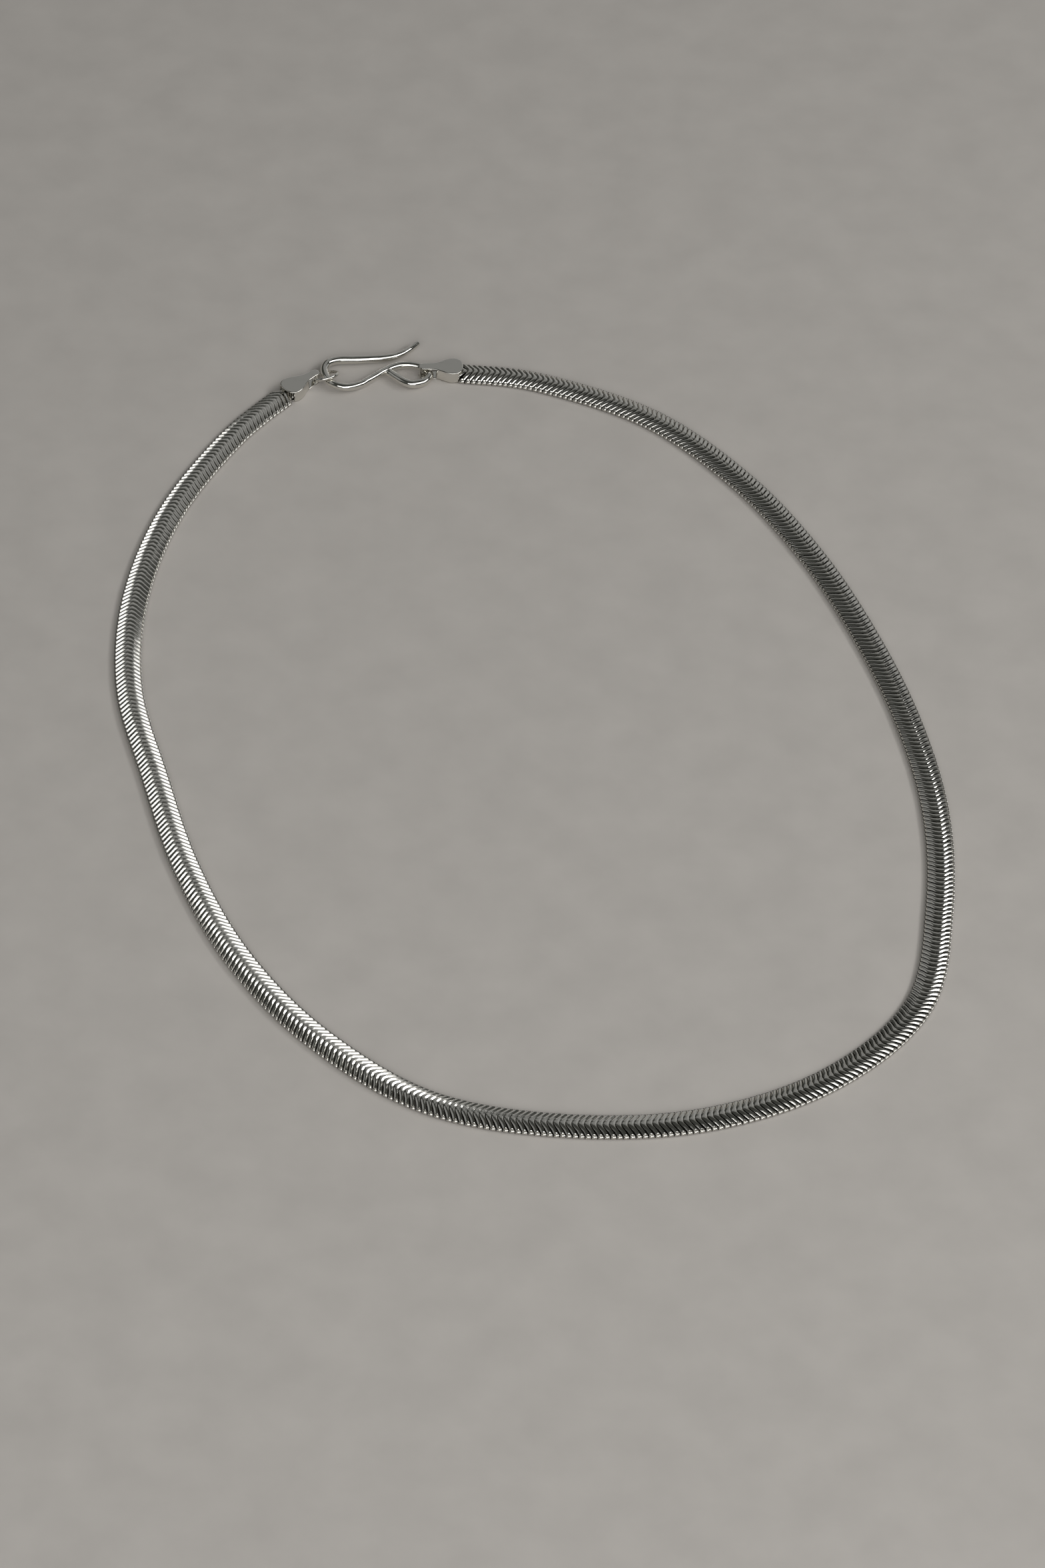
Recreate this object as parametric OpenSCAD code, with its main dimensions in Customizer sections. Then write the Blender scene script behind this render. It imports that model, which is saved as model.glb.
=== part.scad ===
// Flat snake chain necklace with two folded end caps, a wire hook and a jump ring, laid flat

/* [Chain] */
// Width of the flat chain
chain_w = 4.1; // [3.6:0.1:4.2]
// Height of the chain along its domed middle
chain_h = 1.35; // [1.1:0.05:1.45]
// Height of the chain at its two long edges
chain_edge_h = 0.85; // [0.6:0.05:1]

/* [End caps] */
// Radius of the round plate over the chain's end
cap_round_r = 2.05; // [2:0.05:2.2]
// Radius of the narrow tongue at the mouth
cap_tongue_r = 0.72; // [0.7:0.02:0.8]
// Distance from the middle of the round plate to the middle of the tongue
cap_reach = 4.75; // [4.65:0.05:4.85]
// Height of a cap
cap_h = 2.05; // [2:0.05:2.15]
// Thickness of the folded sheet
cap_sheet = 0.2; // [0.15:0.05:0.25]
// Diameter of the small post through the mouth
post_d = 0.45; // [0.4:0.05:0.5]

/* [Hook clasp] */
// Diameter of the hook's wire
hook_wire_d = 1.25; // [1.1:0.05:1.3]

/* [Jump ring] */
// Diameter of the ring's wire
ring_wire_d = 0.5; // [0.45:0.05:0.55]
// Outer diameter of the ring
ring_od = 4.5; // [4.4:0.05:4.6]

/* [Hidden] */

// Shift that puts the middle of the footprint on the origin
centre_shift = [-0.53, -3.18, 0];

// Middle line of the chain, clockwise from the right cap; the first and last points only lead in and out
chain_route = [
    [-17, 81], [-11.7, 80.7], [1, 79], [18.5, 71], [32.5, 57], [43, 40.5], [51, 22.5], [57, 4],
    [60.5, -15], [60.5, -34.5], [57, -54], [44.5, -68.5], [27, -77], [7.5, -79], [-11.5, -75.5],
    [-27.5, -64], [-39.5, -49], [-48, -31.5], [-54, -12.5], [-59, 6], [-59.5, 25.5], [-55.5, 45],
    [-47.5, 62.5], [-39.8, 73.3], [-36, 77.2]
];
// Rings of the chain's tube between two points of its route
chain_steps = 3;
// Shares of the half width that lie flat, that reach the shoulder and that reach the crown's bend
sole_share = 0.9;
shoulder_share = 0.88;
crown_share = 0.44;
// Share of the edge's height that is bevelled, and share of the dome's rise at the crown's bend
bevel_share = 0.2;
crown_rise = 0.75;
// Length of the narrower end that sits inside a cap, and how narrow it is there
stub_l = 1.1;
stub_scale = 0.68;
// Length over which the chain narrows to go into a cap
stub_lead = 0.15;

// Places and headings of the two caps, at the middle of their round plates
cap_right_at = [-13.1, 80.7];
cap_right_heading = 183;
cap_left_at = [-38.3, 74.8];
cap_left_heading = 43;
// Place of the post across the tongue, measured from the middle of the round plate
post_x = 5.15;
post_right_y = 0.28;
post_left_y = 0;
// Where the walls of a cap start, and where they end so that the wire can pass across the tongue
cap_wall_start = -1;
cap_wall_end = 2.9;
// Size of a cutting block that is larger than a cap
cap_clear = 10;

// Middle line of the hook's wire, from the flared tip round the bend and the eye to the closed end
hook_route = [
    [-18.2, 88], [-19, 87], [-20.5, 85.1], [-22.8, 83.5], [-25.7, 82.8], [-28.5, 82.4], [-31.2, 82.1],
    [-32.8, 81.3], [-33.4, 79.8], [-33.1, 78], [-32.3, 76.6], [-31, 75.8], [-29.5, 75.6],
    [-27.6, 76.4], [-25.7, 78.2], [-24.1, 79.8], [-22.6, 81], [-21.2, 81.6], [-19.8, 81.7],
    [-18.4, 81.4], [-17.3, 80.6], [-16.8, 79.4], [-17.3, 78.1], [-18.3, 77.4], [-19.6, 77.1],
    [-20.8, 77.6], [-22, 78.6], [-23, 79.5], [-24, 80.4]
];
// Rings of the wire between two points of its route, and the sides of each
hook_steps = 3;
hook_sides = 12;
// Length over which the wire's two ends are rounded off
hook_round_off = 0.15;
// Height of the wire's middle at the eye, and how much it climbs for each millimetre towards the bend
hook_z = 1;
hook_climb = 0.02;
hook_eye_x = -17;

// Place of the ring's middle, and its turns about its own long way and its short way
ring_at = [-33.2, 78.1, 1.28];
ring_tilt = -25;
ring_pitch = -15;

// Point on a smooth curve through b and c, with a and d as the neighbours on either side
function curve_point(a, b, c, d, t) =
    0.5 * (2 * b + (c - a) * t + (2 * a - 5 * b + 4 * c - d) * t * t
    + (3 * b - a - 3 * c + d) * t * t * t);

// Smooth line through a route, without its first and last point
function smooth_line(route, steps) = [
    for (i = [1 : len(route) - 3])
        for (k = [0 : steps - 1])
            curve_point(route[i - 1], route[i], route[i + 1], route[i + 2], k / steps),
    route[len(route) - 2]
];

function unit(v) = v / norm(v);

// Heading of a line of points at point i
function heading(line, i) =
    unit(line[min(i + 1, len(line) - 1)] - line[max(i - 1, 0)]);

// A closed skin over rings of equal length, with flat ends
module skin(rings) {
    sides = len(rings[0]);
    last = len(rings) - 1;
    walls = [
        for (i = [0 : last - 1])
            for (j = [0 : sides - 1])
                [i * sides + j, (i + 1) * sides + j,
                 (i + 1) * sides + (j + 1) % sides, i * sides + (j + 1) % sides]
    ];
    start_face = [for (j = [0 : sides - 1]) j];
    end_face = [for (j = [sides - 1 : -1 : 0]) last * sides + j];
    polyhedron([for (ring = rings) each ring], concat([start_face], walls, [end_face]));
}

// One half of the chain's cross-section, from the flat sole up to the crown's bend, as [across, up]
function half_section() = [
    [sole_share, 0], [1, bevel_share * chain_edge_h], [1, (1 - bevel_share) * chain_edge_h],
    [shoulder_share, chain_edge_h],
    [crown_share, chain_edge_h + crown_rise * (chain_h - chain_edge_h)]
];

// Cross-section of the chain as [across, up]: flat below, upright edges and a domed top
function chain_section() =
    let (half = [for (p = half_section()) [p.x * chain_w / 2, p.y]])
        concat(
            [[0, 0]], half,
            [[0, chain_h]], [for (i = [len(half) - 1 : -1 : 0]) [-half[i].x, half[i].y]]
        );

// One ring of the chain's tube at a point, scaled about the middle height of the cap
function chain_ring(at, way, scale) = [
    for (p = chain_section())
        [at.x - way.y * p.x * scale, at.y + way.x * p.x * scale,
         cap_h / 2 + (p.y - cap_h / 2) * scale]
];

// The chain as one flat tube with a narrower stub at each end
module chain() {
    line = smooth_line(chain_route, chain_steps);
    last = len(line) - 1;
    way_in = heading(line, 0);
    way_out = heading(line, last);
    color("silver")
    skin(concat(
        [chain_ring(line[0] - way_in * (stub_lead + stub_l), way_in, stub_scale)],
        [chain_ring(line[0] - way_in * stub_lead, way_in, stub_scale)],
        [for (i = [0 : last]) chain_ring(line[i], heading(line, i), 1)],
        [chain_ring(line[last] + way_out * stub_lead, way_out, stub_scale)],
        [chain_ring(line[last] + way_out * (stub_lead + stub_l), way_out, stub_scale)]
    ));
}

// Outline of a cap from above, drawn in by an inset: a round plate that narrows to a tongue
module cap_outline(inset) {
    big_r = cap_round_r - inset;
    small_r = cap_tongue_r - inset;
    lean = acos((big_r - small_r) / cap_reach);
    circle(r = big_r, $fn = 64);
    translate([cap_reach, 0])
        circle(r = small_r, $fn = 48);
    polygon([
        [0, big_r], [big_r * cos(lean), big_r * sin(lean)],
        [cap_reach + small_r * cos(lean), small_r * sin(lean)],
        [cap_reach + small_r * cos(lean), -small_r * sin(lean)],
        [big_r * cos(lean), -big_r * sin(lean)], [0, -big_r]
    ]);
    translate([cap_wall_start - inset, -big_r])
        square([-cap_wall_start + inset, 2 * big_r]);
}

// A cap folded from sheet: top plate, walls, floor and the post that closes its mouth
module end_cap(post_y) {
    inner_h = cap_h - 2 * cap_sheet;
    difference() {
        linear_extrude(height = cap_h) cap_outline(0);
        // Room for the chain's end
        translate([0, 0, cap_sheet])
            linear_extrude(height = inner_h) cap_outline(cap_sheet);
        // Outside the walls only the round plate is left
        translate([-cap_clear, -cap_clear / 2, -cap_clear])
            cube([cap_clear + cap_wall_start, cap_clear, cap_clear + cap_h - cap_sheet]);
        // The sides are open along the tongue
        translate([cap_wall_end, -cap_clear / 2, cap_sheet])
            cube([cap_clear, cap_clear, inner_h]);
    }
    translate([post_x, post_y, cap_sheet / 2])
        cylinder(d = post_d, h = cap_h - cap_sheet, $fn = 24);
}

module end_cap_left() {
    color("gainsboro")
    translate([cap_left_at.x, cap_left_at.y, 0])
        rotate([0, 0, cap_left_heading])
            end_cap(post_left_y);
}

module end_cap_right() {
    color("gainsboro")
    translate([cap_right_at.x, cap_right_at.y, 0])
        rotate([0, 0, cap_right_heading])
            end_cap(post_right_y);
}

// One round ring of the hook's wire
function wire_ring(at, way, d) = [
    for (k = [0 : hook_sides - 1])
        let (turn = 360 * k / hook_sides)
            [at.x - way.y * d / 2 * cos(turn), at.y + way.x * d / 2 * cos(turn),
             hook_z + (hook_eye_x - at.x) * hook_climb + d / 2 * sin(turn)]
];

// The hook bent from one wire, its tip and its end slightly rounded off
module hook_clasp() {
    line = smooth_line(hook_route, hook_steps);
    last = len(line) - 1;
    way_in = heading(line, 0);
    way_out = heading(line, last);
    end_d = hook_wire_d - 2 * hook_round_off;
    color("whitesmoke")
    skin(concat(
        [wire_ring(line[0] - way_in * hook_round_off, way_in, end_d)],
        [for (i = [0 : last]) wire_ring(line[i], heading(line, i), hook_wire_d)],
        [wire_ring(line[last] + way_out * hook_round_off, way_out, end_d)]
    ));
}

// The ring that joins the left cap to the hook, turned half on edge
module jump_ring() {
    color("lightgray")
    translate(ring_at)
        rotate([0, ring_pitch, 0])
            rotate([ring_tilt, 0, 0])
                rotate_extrude($fn = 48)
                    translate([(ring_od - ring_wire_d) / 2, 0])
                        circle(d = ring_wire_d, $fn = 24);
}

translate(centre_shift) chain();
translate(centre_shift) end_cap_left();
translate(centre_shift) end_cap_right();
translate(centre_shift) hook_clasp();
translate(centre_shift) jump_ring();
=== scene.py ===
"""Flat snake chain necklace, laid flat with its clasp closed: the visual model round its CAD frame."""

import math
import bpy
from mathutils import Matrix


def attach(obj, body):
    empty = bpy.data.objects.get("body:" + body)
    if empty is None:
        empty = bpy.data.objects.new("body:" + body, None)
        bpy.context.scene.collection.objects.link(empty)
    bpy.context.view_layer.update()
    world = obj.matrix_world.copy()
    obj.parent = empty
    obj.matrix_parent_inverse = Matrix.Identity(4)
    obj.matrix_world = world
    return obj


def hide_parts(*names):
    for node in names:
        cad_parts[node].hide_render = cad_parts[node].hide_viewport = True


bl_info = {
    "name": "Flat snake chain necklace",
    "version": (1, 0, 0),
    "blender": (4, 5, 0),
    "location": "3D View > Sidebar > Necklace",
    "description": "Builds a flat snake chain necklace with end caps, hook clasp and jump ring",
    "category": "Add Mesh",
}

import bmesh
import bpy
from bpy.props import FloatProperty, FloatVectorProperty, IntProperty, PointerProperty
from mathutils import Euler, Matrix, Vector

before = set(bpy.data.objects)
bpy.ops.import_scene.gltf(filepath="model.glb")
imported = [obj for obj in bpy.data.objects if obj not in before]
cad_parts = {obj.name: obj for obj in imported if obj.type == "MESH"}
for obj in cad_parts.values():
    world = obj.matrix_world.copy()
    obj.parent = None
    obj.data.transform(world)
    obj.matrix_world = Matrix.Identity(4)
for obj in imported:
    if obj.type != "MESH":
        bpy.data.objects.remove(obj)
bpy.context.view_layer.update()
MM = 0.001

# Shift from the route's own origin to the middle of the footprint, in millimetres
CENTRE_SHIFT = Vector((-0.53, -3.18, 0.0))

# Middle line of the chain, clockwise from the right cap; the first and last points only lead in and out
CHAIN_ROUTE = [
    (-17, 81), (-11.7, 80.7), (1, 79), (18.5, 71), (32.5, 57), (43, 40.5), (51, 22.5), (57, 4),
    (60.5, -15), (60.5, -34.5), (57, -54), (44.5, -68.5), (27, -77), (7.5, -79), (-11.5, -75.5),
    (-27.5, -64), (-39.5, -49), (-48, -31.5), (-54, -12.5), (-59, 6), (-59.5, 25.5), (-55.5, 45),
    (-47.5, 62.5), (-39.8, 73.3), (-36, 77.2),
]
ROUTE_STEPS = 12
# Where the first full plate lies past the route's start and the last one past its end, in millimetres
FIRST_PLATE_PAST = 0.70
LAST_PLATE_PAST = 0.18
# Plates inside each cap, and their width and height as shares of a full plate's
END_PLATES = 2
END_WIDTH = 0.65
END_HEIGHT = 0.68
# Most that a plate leans any way, in radians, and the seed of its random lean
UNEVENNESS = 0.012
LEAN_SEED = 7

# Middle line of the hook's wire, from the flared tip round the bend and the eye to the closed end
HOOK_ROUTE = [
    (-18.2, 88), (-19, 87), (-20.5, 85.1), (-22.8, 83.5), (-25.7, 82.8), (-28.5, 82.4), (-31.2, 82.1),
    (-32.8, 81.3), (-33.4, 79.8), (-33.1, 78), (-32.3, 76.6), (-31, 75.8), (-29.5, 75.6),
    (-27.6, 76.4), (-25.7, 78.2), (-24.1, 79.8), (-22.6, 81), (-21.2, 81.6), (-19.8, 81.7),
    (-18.4, 81.4), (-17.3, 80.6), (-16.8, 79.4), (-17.3, 78.1), (-18.3, 77.4), (-19.6, 77.1),
    (-20.8, 77.6), (-22, 78.6), (-23, 79.5), (-24, 80.4),
]
HOOK_STEPS = 6
HOOK_SIDES = 24
# Places counted in points of the route, and the wire's thickness there as a share of its usual one
HOOK_TAPER = (
    (0, 0.74), (1, 0.86), (2.5, 0.98), (4.5, 1.05), (6, 1.05), (9, 1.0), (14, 0.95), (19, 0.98),
    (22, 1.05), (26, 1.0),
)
# Distances past the route's two ends and shares of the thickness there: cut tip, and bead of solder
HOOK_TIP = ((0.13, 0.78), (0.07, 0.96))
HOOK_BEAD = ((0.15, 1.06), (0.3, 1.08), (0.45, 0.98), (0.58, 0.76), (0.66, 0.4), (0.68, 0.1))
# Height of the middle line at the hook's right end, and its rise for each millimetre to the left
HOOK_RIGHT_END = -17
HOOK_HEIGHT = 1
HOOK_RISE = 0.02

# The two caps: place of the round plate's middle, heading in degrees, and the post's place seen from there
CAPS = {
    "end_cap_left": ((-38.3, 74.8), 43, (5.15, 0)),
    "end_cap_right": ((-13.1, 80.7), 183, (5.15, 0.28)),
}
# One side of a cap from above, from the chain's end to the tip of the tongue
CAP_SIDE = [
    (-1.55, 0), (-1.48, 0.7), (-1.2, 1.4), (-0.55, 1.84), (0.3, 1.9), (1.15, 1.66), (2.0, 1.2),
    (2.9, 0.86), (3.9, 0.73), (4.85, 0.68), (5.3, 0.45), (5.47, 0),
]
CAP_STEPS = 4
CAP_HEIGHT = 2.05
# How far the rounded rims of the plates reach inwards, for each unit of the sheet
CAP_RIM = 0.85
RIM_STEPS = 6
# Where the walls start and end along a cap, and their section as distances outwards and heights
WALL_REACH = (-1.0, 2.9)
WALL_SECTION = (
    (0.0, 0.1), (0.09, 0.45), (0.13, 1.0), (0.09, 1.55), (0.0, 1.95), (-0.2, 1.95), (-0.2, 0.1),
)
POST_SIDES = 20

# The jump ring's middle and how it leans against the hook
RING_PLACE = Vector((-33.2, 78.1, 1.28))
RING_TURN = Euler((math.radians(-25), 0, 0)).to_matrix()
RING_PITCH = Euler((0, math.radians(-15), 0)).to_matrix()
RING_STEPS = 64
RING_SIDES = 20

# The camera, at the photograph's viewing angle: its place, lens and sensor in millimetres, and how far
# it looks down and leans in degrees
CAMERA_PLACE = Vector((-0.53, -623.34, 594.33))
CAMERA_LENS = 133.16
CAMERA_SENSOR = 36
CAMERA_DIP = 44.3
CAMERA_ROLL = 1.9

# Half width of the floor in metres, and the colour of the dark room behind the soft lights
FLOOR_REACH = 3.0
ROOM = "#3a3b38"


def linear(colour):
    """An sRGB hex value as linear red, green, blue and alpha."""
    shares = [int(colour[i:i + 2], 16) / 255 for i in (1, 3, 5)]
    return [s / 12.92 if s <= 0.04045 else ((s + 0.055) / 1.055) ** 2.4 for s in shares] + [1.0]


def add_node(tree, kind, inputs=None, **settings):
    """Adds a node to a tree. Settings are its own options; an input is a number, a colour or a socket."""
    node = tree.nodes.new(kind)
    for name, value in settings.items():
        setattr(node, name, value)
    for name, value in (inputs or {}).items():
        if isinstance(value, bpy.types.NodeSocket):
            tree.links.new(value, node.inputs[name])
        else:
            node.inputs[name].default_value = value
    return node


def length(name, description, default):
    """A size property that is kept in metres."""
    return FloatProperty(name=name, description=description, default=default, unit="LENGTH", precision=5)


def colour(name, description, default):
    """A colour property whose default is an sRGB hex value."""
    return FloatVectorProperty(name=name, description=description, default=linear(default)[:3],
                               subtype="COLOR", size=3, min=0, max=1)


class NecklaceChainSettings(bpy.types.PropertyGroup):
    """Sizes and colours of the flat snake chain"""

    width: length("Width", "Width of the flat chain across its plates", 0.00408)
    middle_height: length("Middle height", "Height of the chain along its domed middle", 0.00134)
    edge_height: length("Edge height", "Height of the chain at its two long edges", 0.00085)
    plates: IntProperty(name="Plates", description="Number of full plates along the chain", default=485)
    point: length("Point", "How far the middle of a plate runs ahead of its two ends", 0.00105)
    rib_width: length("Rib width", "Width of a plate's visible rib along the chain", 0.00066)
    groove_depth: length("Groove depth", "Depth of the groove between two ribs", 0.00037)
    silver: colour("Silver", "Colour of the polished plates", "#e2e0da")
    # Painted shade: this dark colour stands for the shade that falls down in the grooves between the ribs
    painted_shade: colour("Groove tarnish", "Colour of the silver down in the grooves", "#2c2925")


class NecklaceFindingsSettings(bpy.types.PropertyGroup):
    """Sizes and colours of the end caps, the hook and the jump ring"""

    cap_sheet: length("Cap sheet", "Thickness of the end caps' folded sheet", 0.00020)
    cap_post: length("Cap post", "Diameter of the post through a cap's mouth", 0.00045)
    hook_wire: length("Hook wire", "Diameter of the hook's wire", 0.00125)
    ring_wire: length("Ring wire", "Diameter of the jump ring's wire", 0.00050)
    ring_size: length("Ring size", "Outer diameter of the jump ring", 0.00450)
    silver: colour("Silver", "Colour of the polished sheet and wire", "#e6e4de")


class NecklaceStageSettings(bpy.types.PropertyGroup):
    """The floor and the lights"""

    floor: colour("Floor", "Colour of the plain floor", "#cac5bf")
    brightness: FloatProperty(name="Brightness", description="Strength of all soft lights together",
                              default=1.0, min=0, subtype="FACTOR", soft_max=2)


def new_material(name):
    """An empty node material and its tree, with the object's own coordinates."""
    material = bpy.data.materials.new(name)
    material.use_nodes = True
    tree = material.node_tree
    tree.nodes.clear()
    place = add_node(tree, "ShaderNodeTexCoord").outputs["Object"]
    return material, tree, place


def polished_plates(silver, painted_shade):
    """Sterling silver plates, rolled and polished: bright ribs, with painted shade that darkens and dulls the
    grooves.
    """
    material, tree, place = new_material("polished_sterling_plates")
    # Painted shade: the grooves are painted darker and made rougher towards their depth
    groove = add_node(tree, "ShaderNodeAttribute", attribute_name="groove").outputs["Fac"]
    # The polish is more and less bright in patches of some 4 mm
    cloud = add_node(tree, "ShaderNodeTexNoise", {"Vector": place, "Scale": 250, "Detail": 3}).outputs["Fac"]
    # Fine wear marks, some 0.1 mm apart, blur the reflections a little
    marks = add_node(tree, "ShaderNodeTexNoise", {"Vector": place, "Scale": 9000, "Detail": 2}).outputs["Fac"]
    depth = add_node(tree, "ShaderNodeMapRange",
                     {"Value": groove, "From Min": 0.15, "From Max": 1.0}).outputs["Result"]
    base = add_node(tree, "ShaderNodeMix", {"Factor": depth, "A": (*silver, 1), "B": (*painted_shade, 1)},
                    data_type="RGBA")
    rough = add_node(tree, "ShaderNodeMapRange",
                     {"Value": cloud, "To Min": 0.13, "To Max": 0.2}).outputs["Result"]
    dull = add_node(tree, "ShaderNodeMix", {"Factor": depth, "A": rough, "B": 0.5}).outputs["Result"]
    bump = add_node(tree, "ShaderNodeBump", {"Height": marks, "Strength": 0.12, "Distance": 0.00002})
    shader = add_node(tree, "ShaderNodeBsdfPrincipled",
                      {"Base Color": base.outputs[2], "Roughness": dull, "Metallic": 1.0,
                       "Normal": bump.outputs["Normal"]})
    add_node(tree, "ShaderNodeOutputMaterial", {"Surface": shader.outputs["BSDF"]})
    return material


def polished_findings(silver):
    """Sterling silver sheet and wire, polished and worn in: clear reflections with fine handling marks."""
    material, tree, place = new_material("polished_sterling_findings")
    # Patches some 1.4 mm wide that handling has left more or less bright
    cloud = add_node(tree, "ShaderNodeTexNoise", {"Vector": place, "Scale": 700, "Detail": 4}).outputs["Fac"]
    # Fine handling marks, some 0.2 mm apart
    marks = add_node(tree, "ShaderNodeTexNoise", {"Vector": place, "Scale": 5000, "Detail": 3}).outputs["Fac"]
    rough = add_node(tree, "ShaderNodeMapRange",
                     {"Value": cloud, "From Min": 0.3, "From Max": 0.7, "To Min": 0.08, "To Max": 0.17})
    # Bent and filed by hand: soft dents some 2 mm apart
    dents = add_node(tree, "ShaderNodeTexNoise", {"Vector": place, "Scale": 420, "Detail": 1}).outputs["Fac"]
    uneven = add_node(tree, "ShaderNodeBump", {"Height": dents, "Strength": 1.0, "Distance": 0.00015})
    bump = add_node(tree, "ShaderNodeBump", {"Height": marks, "Strength": 0.1, "Distance": 0.00003,
                                             "Normal": uneven.outputs["Normal"]})
    shader = add_node(tree, "ShaderNodeBsdfPrincipled",
                      {"Base Color": (*silver, 1), "Roughness": rough.outputs["Result"], "Metallic": 1.0,
                       "Normal": bump.outputs["Normal"]})
    add_node(tree, "ShaderNodeOutputMaterial", {"Surface": shader.outputs["BSDF"]})
    return material


def findings_finish(settings):
    """The one silver that the caps, the hook and the ring share, made when it is first asked for."""
    return bpy.data.materials.get("polished_sterling_findings") or polished_findings(settings.silver)


def matt_floor(shade):
    """Smooth matt board: an even pale surface with a faint mottle."""
    material, tree, place = new_material("matt_board")
    # Mottle some 8 mm across
    cloud = add_node(tree, "ShaderNodeTexNoise", {"Vector": place, "Scale": 120, "Detail": 5}).outputs["Fac"]
    mottle = add_node(tree, "ShaderNodeMapRange",
                      {"Value": cloud, "From Min": 0.3, "From Max": 0.7, "To Min": 0.96, "To Max": 1.04})
    base = add_node(tree, "ShaderNodeVectorMath",
                    {0: (*shade,), "Scale": mottle.outputs["Result"]}, operation="SCALE")
    shader = add_node(tree, "ShaderNodeBsdfPrincipled",
                      {"Base Color": base.outputs["Vector"], "Roughness": 0.75, "Specular IOR Level": 0.3})
    add_node(tree, "ShaderNodeOutputMaterial", {"Surface": shader.outputs["BSDF"]})
    return material


def smooth_line(route, steps):
    """Points on a smooth curve through a route, without its first and last point."""
    line = []
    for i in range(1, len(route) - 2):
        a, b, c, d = (Vector(p) for p in route[i - 1:i + 3])
        for k in range(steps):
            t = k / steps
            line.append(0.5 * (2 * b + (c - a) * t + (2 * a - 5 * b + 4 * c - d) * t ** 2
                               + (3 * b - a - 3 * c + d) * t ** 3))
    line.append(Vector(route[-2]))
    return line


def new_object(name, mesh):
    """An object at the origin with this mesh, in the scene."""
    piece = bpy.data.objects.new(name, mesh)
    bpy.context.scene.collection.objects.link(piece)
    return piece


def settle(piece, node):
    """Hides the CAD node that a finished piece stands for, and hangs the piece on the root body."""
    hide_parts(node)
    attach(piece, "root")


def add_skin(mesh, rings, groove=None, sharp=(), ridges=()):
    """Adds a closed smooth skin over rings of points.

    The edges along it at the sharp points and the edges round it at the ridge rings stay crisp.
    """
    layer = mesh.verts.layers.float.get("groove")
    rows = []
    for i, ring in enumerate(rings):
        row = []
        for j, point in enumerate(ring):
            vertex = mesh.verts.new(point)
            if groove is not None:
                vertex[layer] = groove[i][j]
            row.append(vertex)
        rows.append(row)
    sides = len(rings[0])
    faces = []
    for near, far in zip(rows, rows[1:]):
        for j in range(sides):
            k = (j + 1) % sides
            faces.append(mesh.faces.new((near[j], near[k], far[k], far[j])))
            if j in sharp:
                mesh.edges.get((near[j], far[j])).smooth = False
    for i in ridges:
        for j in range(sides):
            mesh.edges.get((rows[i][j], rows[i][(j + 1) % sides])).smooth = False
    faces.append(mesh.faces.new(rows[0][::-1]))
    faces.append(mesh.faces.new(rows[-1]))
    for face in faces:
        face.smooth = True
    bmesh.ops.recalc_face_normals(mesh, faces=faces)


def finished_mesh(mesh, name):
    """Turns a bmesh in millimetres into a mesh in metres."""
    bmesh.ops.scale(mesh, vec=(MM, MM, MM), verts=mesh.verts)
    made = bpy.data.meshes.new(name)
    mesh.to_mesh(made)
    mesh.free()
    return made


# Where the curve of a plate's V would end, as a share of its half width
PLATE_TURN = 1.04

# Stations across a plate, as shares of its half width. At each of them, how far its rib stands out
# as a share of its full relief, and how far the rib drops in millimetres.
RIB_STATIONS = (0, 0.28, 0.6, 0.87, 0.955)
RIB_RELIEF = (0.45, 0.75, 1, 1, 1)
RIB_DROP = (0, 0, 0, 0, 0.14)
# How much wider a rib is where it is flat, and how much narrower for each millimetre that it drops
FLAT_WIDENING = 0.3
DROP_NARROWING = 2

# A rib's section from its steep back to its gentle front: places as shares of the rib's half width,
# heights as shares of the groove's depth. Then its points where an edge stays crisp, and its painted shade.
RIB_SECTION = ((-1, -1), (-1, -0.7), (-0.32, -0.05), (-0.08, 0), (0.55, -0.1), (1.15, -0.46), (1.15, -1))
RIB_SHARP = (0, 1, 2, 5, 6)
RIB_PAINTED_SHADE = (1.0, 0.2, 0.0, 0.0, 0.0, 0.15, 1.0)

# The foot's stations, and its bottom, top and reach to front and back: at its ends, and between them
FOOT_STATIONS = (0, 0.9, 1)
FOOT_AT_ENDS = (0.26, 0.70, 0.33)
FOOT_BETWEEN = (0.04, 0.72, 0.40)
# Painted shade on the foot: its ends are left almost bare silver, and the rest is painted dark as the shade
# in the grooves
FOOT_END_PAINTED_SHADE = 0.1
FOOT_PAINTED_SHADE = 1.0


def both_sides(shares):
    """Shares on both sides of the middle, in order."""
    return [-s for s in shares[:0:-1]] + list(shares)


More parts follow.
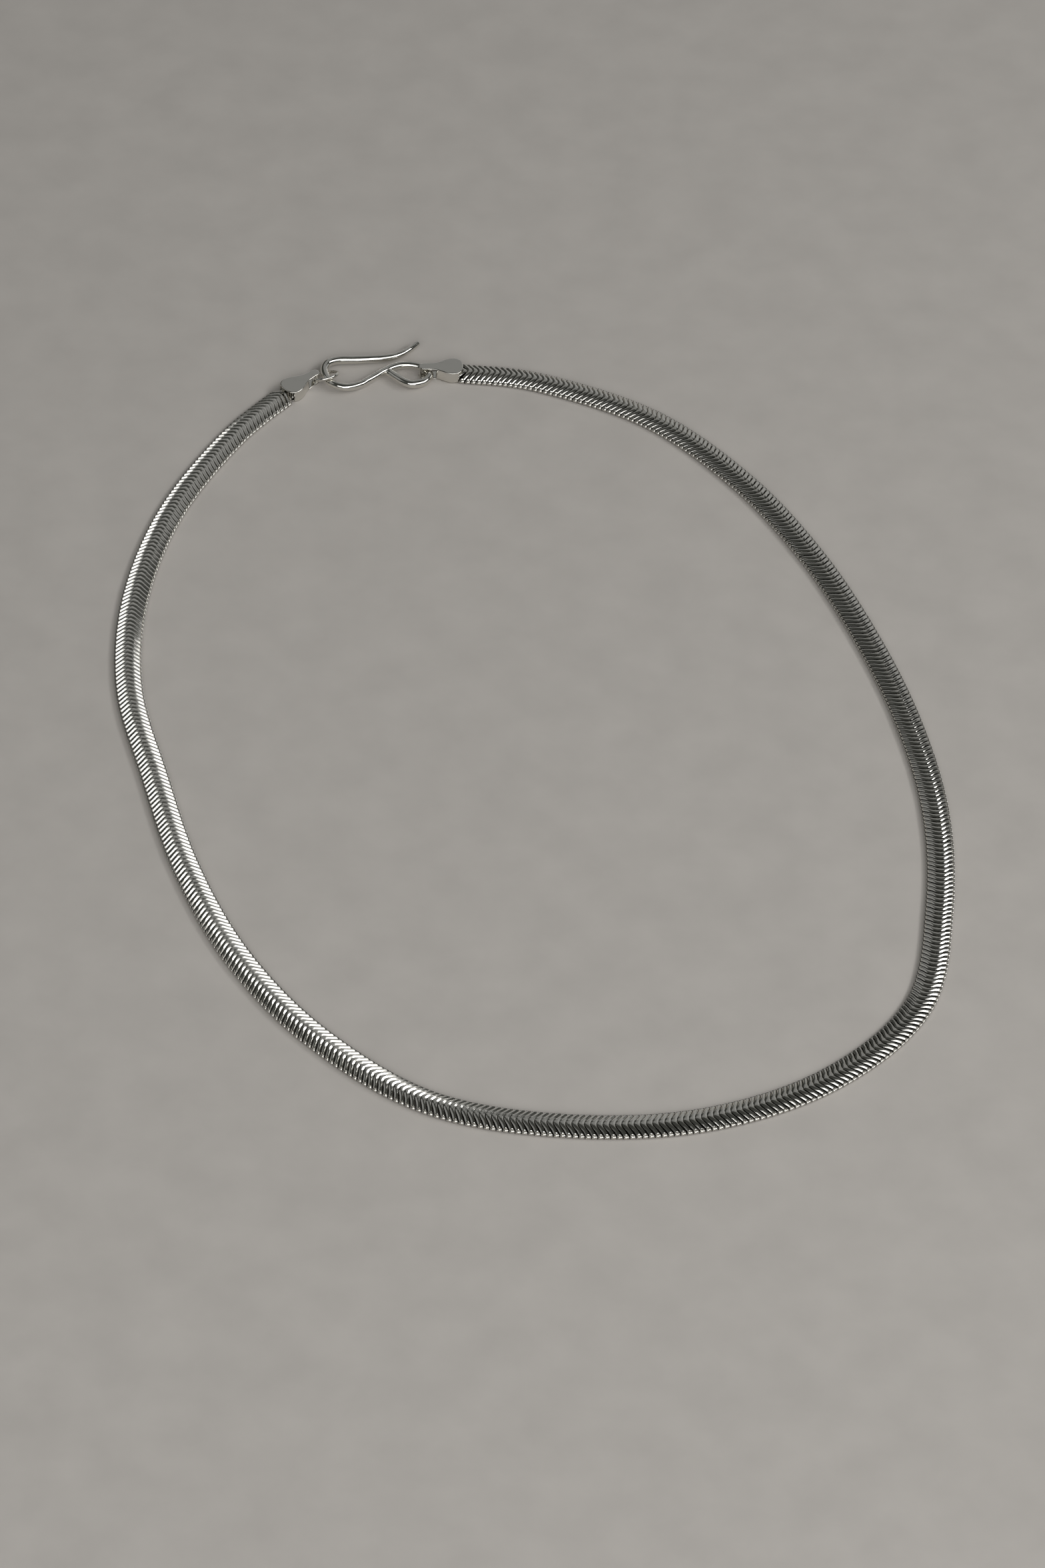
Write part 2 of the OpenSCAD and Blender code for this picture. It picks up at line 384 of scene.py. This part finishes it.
def plate_mesh(settings):
    """One plate: a rounded V whose leaning rib flattens out at its middle, on a foot as wide as it, painted
    dark as shade.
    """
    half = settings.width / MM / 2
    middle = settings.middle_height / MM
    edge = settings.edge_height / MM
    lead = settings.point / MM / 2
    rib = settings.rib_width / MM / 2
    deep = settings.groove_depth / MM

    def ahead(x):
        return lead * math.cos(math.pi * min(abs(x) / (PLATE_TURN * half), 1))

    def top(x):
        return edge + (middle - edge) * math.cos(math.pi / 2 * min(abs(x) / half, 1))

    mesh = bmesh.new()
    mesh.verts.layers.float.new("groove")
    rings = []
    for share in both_sides(RIB_STATIONS):
        x = share * half
        station = RIB_STATIONS.index(abs(share))
        relief = RIB_RELIEF[station]
        drop = RIB_DROP[station]
        wide = rib * (1 + FLAT_WIDENING * (1 - relief) - DROP_NARROWING * drop)
        # The lowest points stay at the groove's depth where the rib is flat
        rings.append([(x, ahead(x) + y * wide, top(x) - drop + z * deep * (relief if z > -1 else 1))
                      for y, z in RIB_SECTION])
    add_skin(mesh, rings, [RIB_PAINTED_SHADE] * len(rings), sharp=RIB_SHARP, ridges=(1, len(rings) - 2))

    rings = []
    painted_shade = []
    for share in both_sides(FOOT_STATIONS):
        x = share * half
        if share in (-1, 1):
            low, high, reach = FOOT_AT_ENDS
            painted_shade.append([FOOT_END_PAINTED_SHADE] * 4)
        else:
            low, high, reach = FOOT_BETWEEN
            high = min(top(x) - deep, high)
            painted_shade.append([FOOT_PAINTED_SHADE] * 4)
        back = ahead(x) - reach
        front = ahead(x) + reach
        rings.append([(x, back, high), (x, front, high), (x, front, low), (x, back, low)])
    add_skin(mesh, rings, painted_shade, sharp=(0, 1, 2, 3))
    return finished_mesh(mesh, "plate")


def chain_tree():
    """The node tree that lays plates along a route, with narrower plates inside the two caps."""
    tree = bpy.data.node_groups.new("plates_along_route", "GeometryNodeTree")
    tree.interface.new_socket("Geometry", in_out="OUTPUT", socket_type="NodeSocketGeometry")
    for name, kind in (("Route", "NodeSocketGeometry"), ("Plate", "NodeSocketObject"),
                       ("Plates", "NodeSocketInt"), ("End plates", "NodeSocketInt"),
                       ("End width", "NodeSocketFloat"), ("End height", "NodeSocketFloat"),
                       ("End lift", "NodeSocketFloat"), ("Unevenness", "NodeSocketFloat"),
                       ("Seed", "NodeSocketInt"), ("Silver", "NodeSocketMaterial")):
        tree.interface.new_socket(name, in_out="INPUT", socket_type=kind)
    given = add_node(tree, "NodeGroupInput").outputs
    route = add_node(tree, "GeometryNodeMeshToCurve", {"Mesh": given["Route"]})
    both_ends = add_node(tree, "ShaderNodeMath", {0: given["End plates"], 1: 2}, operation="MULTIPLY")
    count = add_node(tree, "ShaderNodeMath", {0: given["Plates"], 1: both_ends.outputs[0]}, operation="ADD")
    points = add_node(tree, "GeometryNodeCurveToPoints",
                      {"Curve": route.outputs["Curve"], "Count": count.outputs[0]}, mode="COUNT").outputs
    # A plate is an end plate where its number is too low or too high
    number = add_node(tree, "GeometryNodeInputIndex").outputs["Index"]
    past = add_node(tree, "ShaderNodeMath", {0: count.outputs[0], 1: given["End plates"]},
                    operation="SUBTRACT").outputs[0]
    first = add_node(tree, "FunctionNodeCompare", {2: number, 3: given["End plates"]},
                     data_type="INT", operation="LESS_THAN").outputs["Result"]
    final = add_node(tree, "FunctionNodeCompare", {2: number, 3: past},
                     data_type="INT", operation="GREATER_EQUAL").outputs["Result"]
    is_end = add_node(tree, "FunctionNodeBooleanMath", {0: first, 1: final}, operation="OR").outputs[0]
    end_size = add_node(tree, "ShaderNodeCombineXYZ",
                        {"X": given["End width"], "Y": 1.0, "Z": given["End height"]}).outputs[0]
    size = add_node(tree, "GeometryNodeSwitch", {"Switch": is_end, "False": (1, 1, 1), "True": end_size},
                    input_type="VECTOR").outputs[0]
    end_lift = add_node(tree, "ShaderNodeCombineXYZ", {"Z": given["End lift"]}).outputs[0]
    placed = add_node(tree, "GeometryNodeSetPosition",
                      {"Geometry": points["Points"], "Selection": is_end, "Offset": end_lift}).outputs[0]
    # Each plate hangs a little unevenly on its neighbours
    least = add_node(tree, "ShaderNodeMath", {0: given["Unevenness"], 1: -1.0},
                     operation="MULTIPLY").outputs[0]
    low = add_node(tree, "ShaderNodeCombineXYZ", {"X": least, "Y": least, "Z": least}).outputs[0]
    high = add_node(tree, "ShaderNodeCombineXYZ",
                    {"X": given["Unevenness"], "Y": given["Unevenness"], "Z": given["Unevenness"]}).outputs[0]
    lean = add_node(tree, "FunctionNodeRandomValue", {0: low, 1: high, "Seed": given["Seed"]},
                    data_type="FLOAT_VECTOR").outputs[0]
    heading = add_node(tree, "FunctionNodeAlignRotationToVector", {"Vector": points["Tangent"]},
                       axis="Y", pivot_axis="Z").outputs[0]
    lean_turn = add_node(tree, "FunctionNodeEulerToRotation", {0: lean}).outputs[0]
    turn = add_node(tree, "FunctionNodeRotateRotation", {"Rotation": heading, "Rotate By": lean_turn},
                    rotation_space="LOCAL").outputs[0]
    plate = add_node(tree, "GeometryNodeObjectInfo", {"Object": given["Plate"]}).outputs["Geometry"]
    laid = add_node(tree, "GeometryNodeInstanceOnPoints",
                    {"Points": placed, "Instance": plate, "Rotation": turn, "Scale": size}).outputs[0]
    solid = add_node(tree, "GeometryNodeRealizeInstances", {"Geometry": laid}).outputs[0]
    finished = add_node(tree, "GeometryNodeSetMaterial", {"Geometry": solid, "Material": given["Silver"]})
    add_node(tree, "NodeGroupOutput", {"Geometry": finished.outputs[0]})
    return tree


def chain_path(plates):
    """The chain's middle line in metres, run straight on into the caps to hold the end plates."""
    line = [p + CENTRE_SHIFT.xy for p in smooth_line([Vector(p) for p in CHAIN_ROUTE], ROUTE_STEPS)]
    total = sum((b - a).length for a, b in zip(line, line[1:]))
    last_at = total + LAST_PLATE_PAST
    pitch = (last_at - FIRST_PLATE_PAST) / (plates - 1)
    way_in = (line[1] - line[0]).normalized()
    way_out = (line[-1] - line[-2]).normalized()
    line.append(line[-1] + way_out * (last_at - total + END_PLATES * pitch))
    line.insert(0, line[0] + way_in * (FIRST_PLATE_PAST - END_PLATES * pitch))
    return [Vector((p.x, p.y, 0)) * MM for p in line]


class NECKLACE_OT_chain(bpy.types.Operator):
    """Lay the chain's plates along its route"""

    bl_idname = "necklace.chain"
    bl_label = "Flat snake chain"

    def execute(self, context):
        settings = context.scene.necklace_chain
        path = chain_path(settings.plates)
        mesh = bpy.data.meshes.new("chain_route")
        mesh.from_pydata(path, [(i, i + 1) for i in range(len(path) - 1)], [])
        route = new_object("chain_route", mesh)
        plate = new_object("chain_plate", plate_mesh(settings))
        tree = chain_tree()
        modifier = route.modifiers.new("Plates", "NODES")
        modifier.node_group = tree
        # The end plates are made lower round the caps' middle height
        given = {
            "Plate": plate,
            "Plates": settings.plates,
            "End plates": END_PLATES,
            "End width": END_WIDTH,
            "End height": END_HEIGHT,
            "End lift": CAP_HEIGHT / 2 * MM * (1 - END_HEIGHT),
            "Unevenness": UNEVENNESS,
            "Seed": LEAN_SEED,
            "Silver": polished_plates(settings.silver, settings.painted_shade),
        }
        for item in tree.interface.items_tree:
            if item.in_out == "INPUT" and item.name in given:
                modifier[item.identifier] = given[item.name]
        seen = route.evaluated_get(context.evaluated_depsgraph_get())
        made = bpy.data.meshes.new_from_object(seen)
        route.modifiers.remove(modifier)
        bpy.data.objects.remove(route)
        bpy.data.objects.remove(plate)
        made.name = "snake_chain"
        chain = new_object("snake_chain", made)
        settle(chain, "chain")
        return {"FINISHED"}


def cap_outline():
    """Points round a cap from above, and at each the way straight outwards."""
    loop = [Vector(p) for p in CAP_SIDE] + [Vector((x, -y)) for x, y in CAP_SIDE[-2:0:-1]]
    line = smooth_line([loop[-1]] + loop + loop[:2], CAP_STEPS)[:-1]
    ways = [(b - a).normalized() for a, b in zip([line[-1]] + line, line[1:] + [line[0]])]
    return line, [Vector((-way.y, way.x)) for way in ways]


def add_plate(mesh, line, outwards, low, sheet):
    """Adds a plate of sheet with a fully rounded rim, which catches the light all round it."""
    rings = []
    for k in range(RIM_STEPS + 1):
        a = math.pi * k / RIM_STEPS
        inset = sheet * CAP_RIM * (1 - math.sin(a))
        z = low + sheet / 2 * (1 - math.cos(a))
        rings.append([(*(p - out * inset), z) for p, out in zip(line, outwards)])
    add_skin(mesh, rings, ridges=(0, RIM_STEPS))


def cap_mesh(settings, post_at):
    """One cap: top plate and floor of sheet, bowed walls between them, and a post through the mouth."""
    sheet = settings.cap_sheet / MM
    mesh = bmesh.new()
    line, outwards = cap_outline()
    add_plate(mesh, line, outwards, CAP_HEIGHT - sheet, sheet)
    # The floor starts where the walls do, and leaves the chain's last plates free
    floor = [(p, out) for p, out in zip(line, outwards) if p.x >= WALL_REACH[0]]
    add_plate(mesh, [p for p, out in floor], [out for p, out in floor], 0, sheet)
    for side in (1, -1):
        rings = [[(*(p + out * away), z) for away, z in WALL_SECTION] for p, out in zip(line, outwards)
                 if WALL_REACH[0] <= p.x <= WALL_REACH[1] and p.y * side > 0]
        # The wall's top and its flat inner face keep crisp edges
        add_skin(mesh, rings, sharp=(4, 5, 6))
    radius = settings.cap_post / MM / 2
    turns = [math.tau * k / POST_SIDES for k in range(POST_SIDES)]
    rings = [[(post_at[0] + radius * math.cos(a), post_at[1] + radius * math.sin(a), z) for a in turns]
             for z in (sheet / 2, CAP_HEIGHT - sheet / 2)]
    add_skin(mesh, rings, ridges=(0, 1))
    return mesh


class NECKLACE_OT_end_caps(bpy.types.Operator):
    """Fold the two end caps from sheet"""

    bl_idname = "necklace.end_caps"
    bl_label = "End caps"

    def execute(self, context):
        settings = context.scene.necklace_findings
        silver = findings_finish(settings)
        for node, (place, heading, post_at) in CAPS.items():
            name = node.replace("end_cap", "folded_cap")
            mesh = cap_mesh(settings, post_at)
            turn = Matrix.Rotation(math.radians(heading), 4, "Z")
            mesh.transform(Matrix.Translation(Vector((*place, 0)) + CENTRE_SHIFT) @ turn)
            made = finished_mesh(mesh, name)
            made.materials.append(silver)
            settle(new_object(name, made), node)
        return {"FINISHED"}


def wire_rings(line, radii, sides):
    """Round rings of a wire along a line of points in space."""
    rings = []
    last = len(line) - 1
    for i, (at, radius) in enumerate(zip(line, radii)):
        way = (line[min(i + 1, last)] - line[max(i - 1, 0)]).normalized()
        across = way.cross(Vector((0, 0, 1))).normalized()
        up = across.cross(way)
        rings.append([at + (across * math.cos(a) + up * math.sin(a)) * radius
                      for a in (math.tau * k / sides for k in range(sides))])
    return rings


def taper_at(place):
    """Share of the wire's usual thickness at a place counted in points of the hook's route."""
    for (near, thin), (far, thick) in zip(HOOK_TAPER, HOOK_TAPER[1:]):
        if place <= far:
            return thin + (thick - thin) * (place - near) / (far - near)
    return HOOK_TAPER[-1][1]


def finished_ends(line, radii):
    """The wire with a flat-cut tip at its start and a round bead of solder at its closed end."""
    tip_way = (line[0] - line[1]).normalized()
    end_way = (line[-1] - line[-2]).normalized()
    tip = [line[0] + tip_way * away for away, share in HOOK_TIP]
    bead = [line[-1] + end_way * away for away, share in HOOK_BEAD]
    tip_radii = [radii[0] * share for away, share in HOOK_TIP]
    bead_radii = [radii[-1] * share for away, share in HOOK_BEAD]
    return tip + line + bead, tip_radii + radii + bead_radii


class NECKLACE_OT_hook(bpy.types.Operator):
    """Bend the hook from one round wire"""

    bl_idname = "necklace.hook"
    bl_label = "Hook clasp"

    def execute(self, context):
        settings = context.scene.necklace_findings
        radius = settings.hook_wire / MM / 2
        flat = smooth_line([Vector(p) for p in HOOK_ROUTE], HOOK_STEPS)
        line = [Vector((p.x, p.y, HOOK_HEIGHT + (HOOK_RIGHT_END - p.x) * HOOK_RISE)) + CENTRE_SHIFT
                for p in flat]
        radii = [radius * taper_at(i / HOOK_STEPS) for i in range(len(line))]
        line, radii = finished_ends(line, radii)
        mesh = bmesh.new()
        add_skin(mesh, wire_rings(line, radii, HOOK_SIDES))
        made = finished_mesh(mesh, "wire_hook")
        made.materials.append(findings_finish(settings))
        settle(new_object("wire_hook", made), "hook_clasp")
        return {"FINISHED"}


class NECKLACE_OT_ring(bpy.types.Operator):
    """Make the jump ring between the left cap and the hook"""

    bl_idname = "necklace.ring"
    bl_label = "Jump ring"

    def execute(self, context):
        settings = context.scene.necklace_findings
        wire = settings.ring_wire / MM / 2
        big = settings.ring_size / MM / 2 - wire
        turn = RING_PITCH @ RING_TURN
        mesh = bmesh.new()
        rows = []
        for i in range(RING_STEPS):
            a = math.tau * i / RING_STEPS
            row = []
            for k in range(RING_SIDES):
                b = math.tau * k / RING_SIDES
                flat = Vector(((big + wire * math.cos(b)) * math.cos(a),
                               (big + wire * math.cos(b)) * math.sin(a), wire * math.sin(b)))
                row.append(mesh.verts.new(turn @ flat + RING_PLACE + CENTRE_SHIFT))
            rows.append(row)
        for near, far in zip(rows, rows[1:] + rows[:1]):
            for k in range(RING_SIDES):
                n = (k + 1) % RING_SIDES
                mesh.faces.new((near[k], far[k], far[n], near[n])).smooth = True
        bmesh.ops.recalc_face_normals(mesh, faces=mesh.faces)
        made = finished_mesh(mesh, "ring")
        made.materials.append(findings_finish(settings))
        settle(new_object("round_jump_ring", made), "jump_ring")
        return {"FINISHED"}


# Soft lights: name, azimuth and elevation seen from the necklace, distance, width, height, brightness.
# Azimuth 0 is straight ahead of the camera and 90 is to its right.
LIGHTS = [
    ("right_softbox", 92, 42, 0.90, 0.58, 0.19, 5.4),
    ("rear_softbox", 148, 46, 1.20, 1.25, 0.75, 1.6),
    ("rear_window", 180, 27, 1.20, 0.80, 0.42, 2.2),
    ("rear_left_softbox", -160, 38, 1.20, 0.60, 0.48, 1.7),
    ("left_board", -85, 36, 1.20, 1.00, 0.65, 0.24),
    ("front_wall", 25, 15, 1.20, 2.00, 0.60, 0.30),
    ("front_board", 0, 47, 1.20, 1.10, 0.75, 0.19),
]


class NECKLACE_OT_stage(bpy.types.Operator):
    """Set the floor, the soft lights and the camera"""

    bl_idname = "necklace.stage"
    bl_label = "Stage"

    def execute(self, context):
        settings = context.scene.necklace_stage
        scene = context.scene
        mesh = bpy.data.meshes.new("floor")
        corners = [(x * FLOOR_REACH, y * FLOOR_REACH, 0) for x, y in ((-1, -1), (1, -1), (1, 1), (-1, 1))]
        mesh.from_pydata(corners, [], [(0, 1, 2, 3)])
        mesh.materials.append(matt_floor(settings.floor))
        floor = new_object("floor", mesh)

        world = bpy.data.worlds.new("studio")
        world.use_nodes = True
        world.node_tree.nodes["Background"].inputs["Color"].default_value = linear(ROOM)
        scene.world = world
        scene.view_settings.view_transform = "Standard"

        for name, azimuth, elevation, away, width, height, shine in LIGHTS:
            a = math.radians(azimuth)
            e = math.radians(elevation)
            way = Vector((math.sin(a) * math.cos(e), math.cos(a) * math.cos(e), math.sin(e)))
            light = bpy.data.lights.new(name, "AREA")
            light.shape = "RECTANGLE"
            light.size = width
            light.size_y = height
            light.energy = shine * settings.brightness * math.pi * width * height
            lamp = bpy.data.objects.new(name, light)
            lamp.location = way * away
            lamp.rotation_euler = (-way).to_track_quat("-Z", "Y").to_euler()
            lamp.visible_camera = False
            scene.collection.objects.link(lamp)

        camera = bpy.data.cameras.new("camera")
        camera.lens = CAMERA_LENS
        camera.sensor_width = CAMERA_SENSOR
        eye = bpy.data.objects.new("camera", camera)
        eye.location = CAMERA_PLACE * MM
        tilt = Matrix.Rotation(math.radians(90 - CAMERA_DIP), 4, "X")
        roll = Matrix.Rotation(math.radians(CAMERA_ROLL), 4, "Z")
        eye.rotation_euler = (tilt @ roll).to_euler()
        scene.collection.objects.link(eye)
        scene.camera = eye
        return {"FINISHED"}


class NECKLACE_PT_parts(bpy.types.Panel):
    """Lists the necklace's pieces and their sizes"""

    bl_label = "Necklace"
    bl_idname = "NECKLACE_PT_parts"
    bl_space_type = "VIEW_3D"
    bl_region_type = "UI"
    bl_category = "Necklace"

    def draw(self, context):
        layout = self.layout
        for operator in OPERATORS:
            layout.operator(operator.bl_idname)
        for group in GROUPS:
            settings = getattr(context.scene, group)
            box = layout.box()
            for name in settings.__annotations__:
                box.prop(settings, name)


GROUPS = {
    "necklace_chain": NecklaceChainSettings,
    "necklace_findings": NecklaceFindingsSettings,
    "necklace_stage": NecklaceStageSettings,
}
OPERATORS = (NECKLACE_OT_stage, NECKLACE_OT_chain, NECKLACE_OT_end_caps, NECKLACE_OT_hook, NECKLACE_OT_ring)
CLASSES = (*GROUPS.values(), *OPERATORS, NECKLACE_PT_parts)


def register():
    for item in CLASSES:
        bpy.utils.register_class(item)
    for name, group in GROUPS.items():
        setattr(bpy.types.Scene, name, PointerProperty(type=group))


def unregister():
    for name in GROUPS:
        delattr(bpy.types.Scene, name)
    for item in reversed(CLASSES):
        bpy.utils.unregister_class(item)


def main():
    register()
    bpy.ops.necklace.stage()
    bpy.ops.necklace.chain()
    bpy.ops.necklace.end_caps()
    bpy.ops.necklace.hook()
    bpy.ops.necklace.ring()


if __name__ == "__main__":
    main()
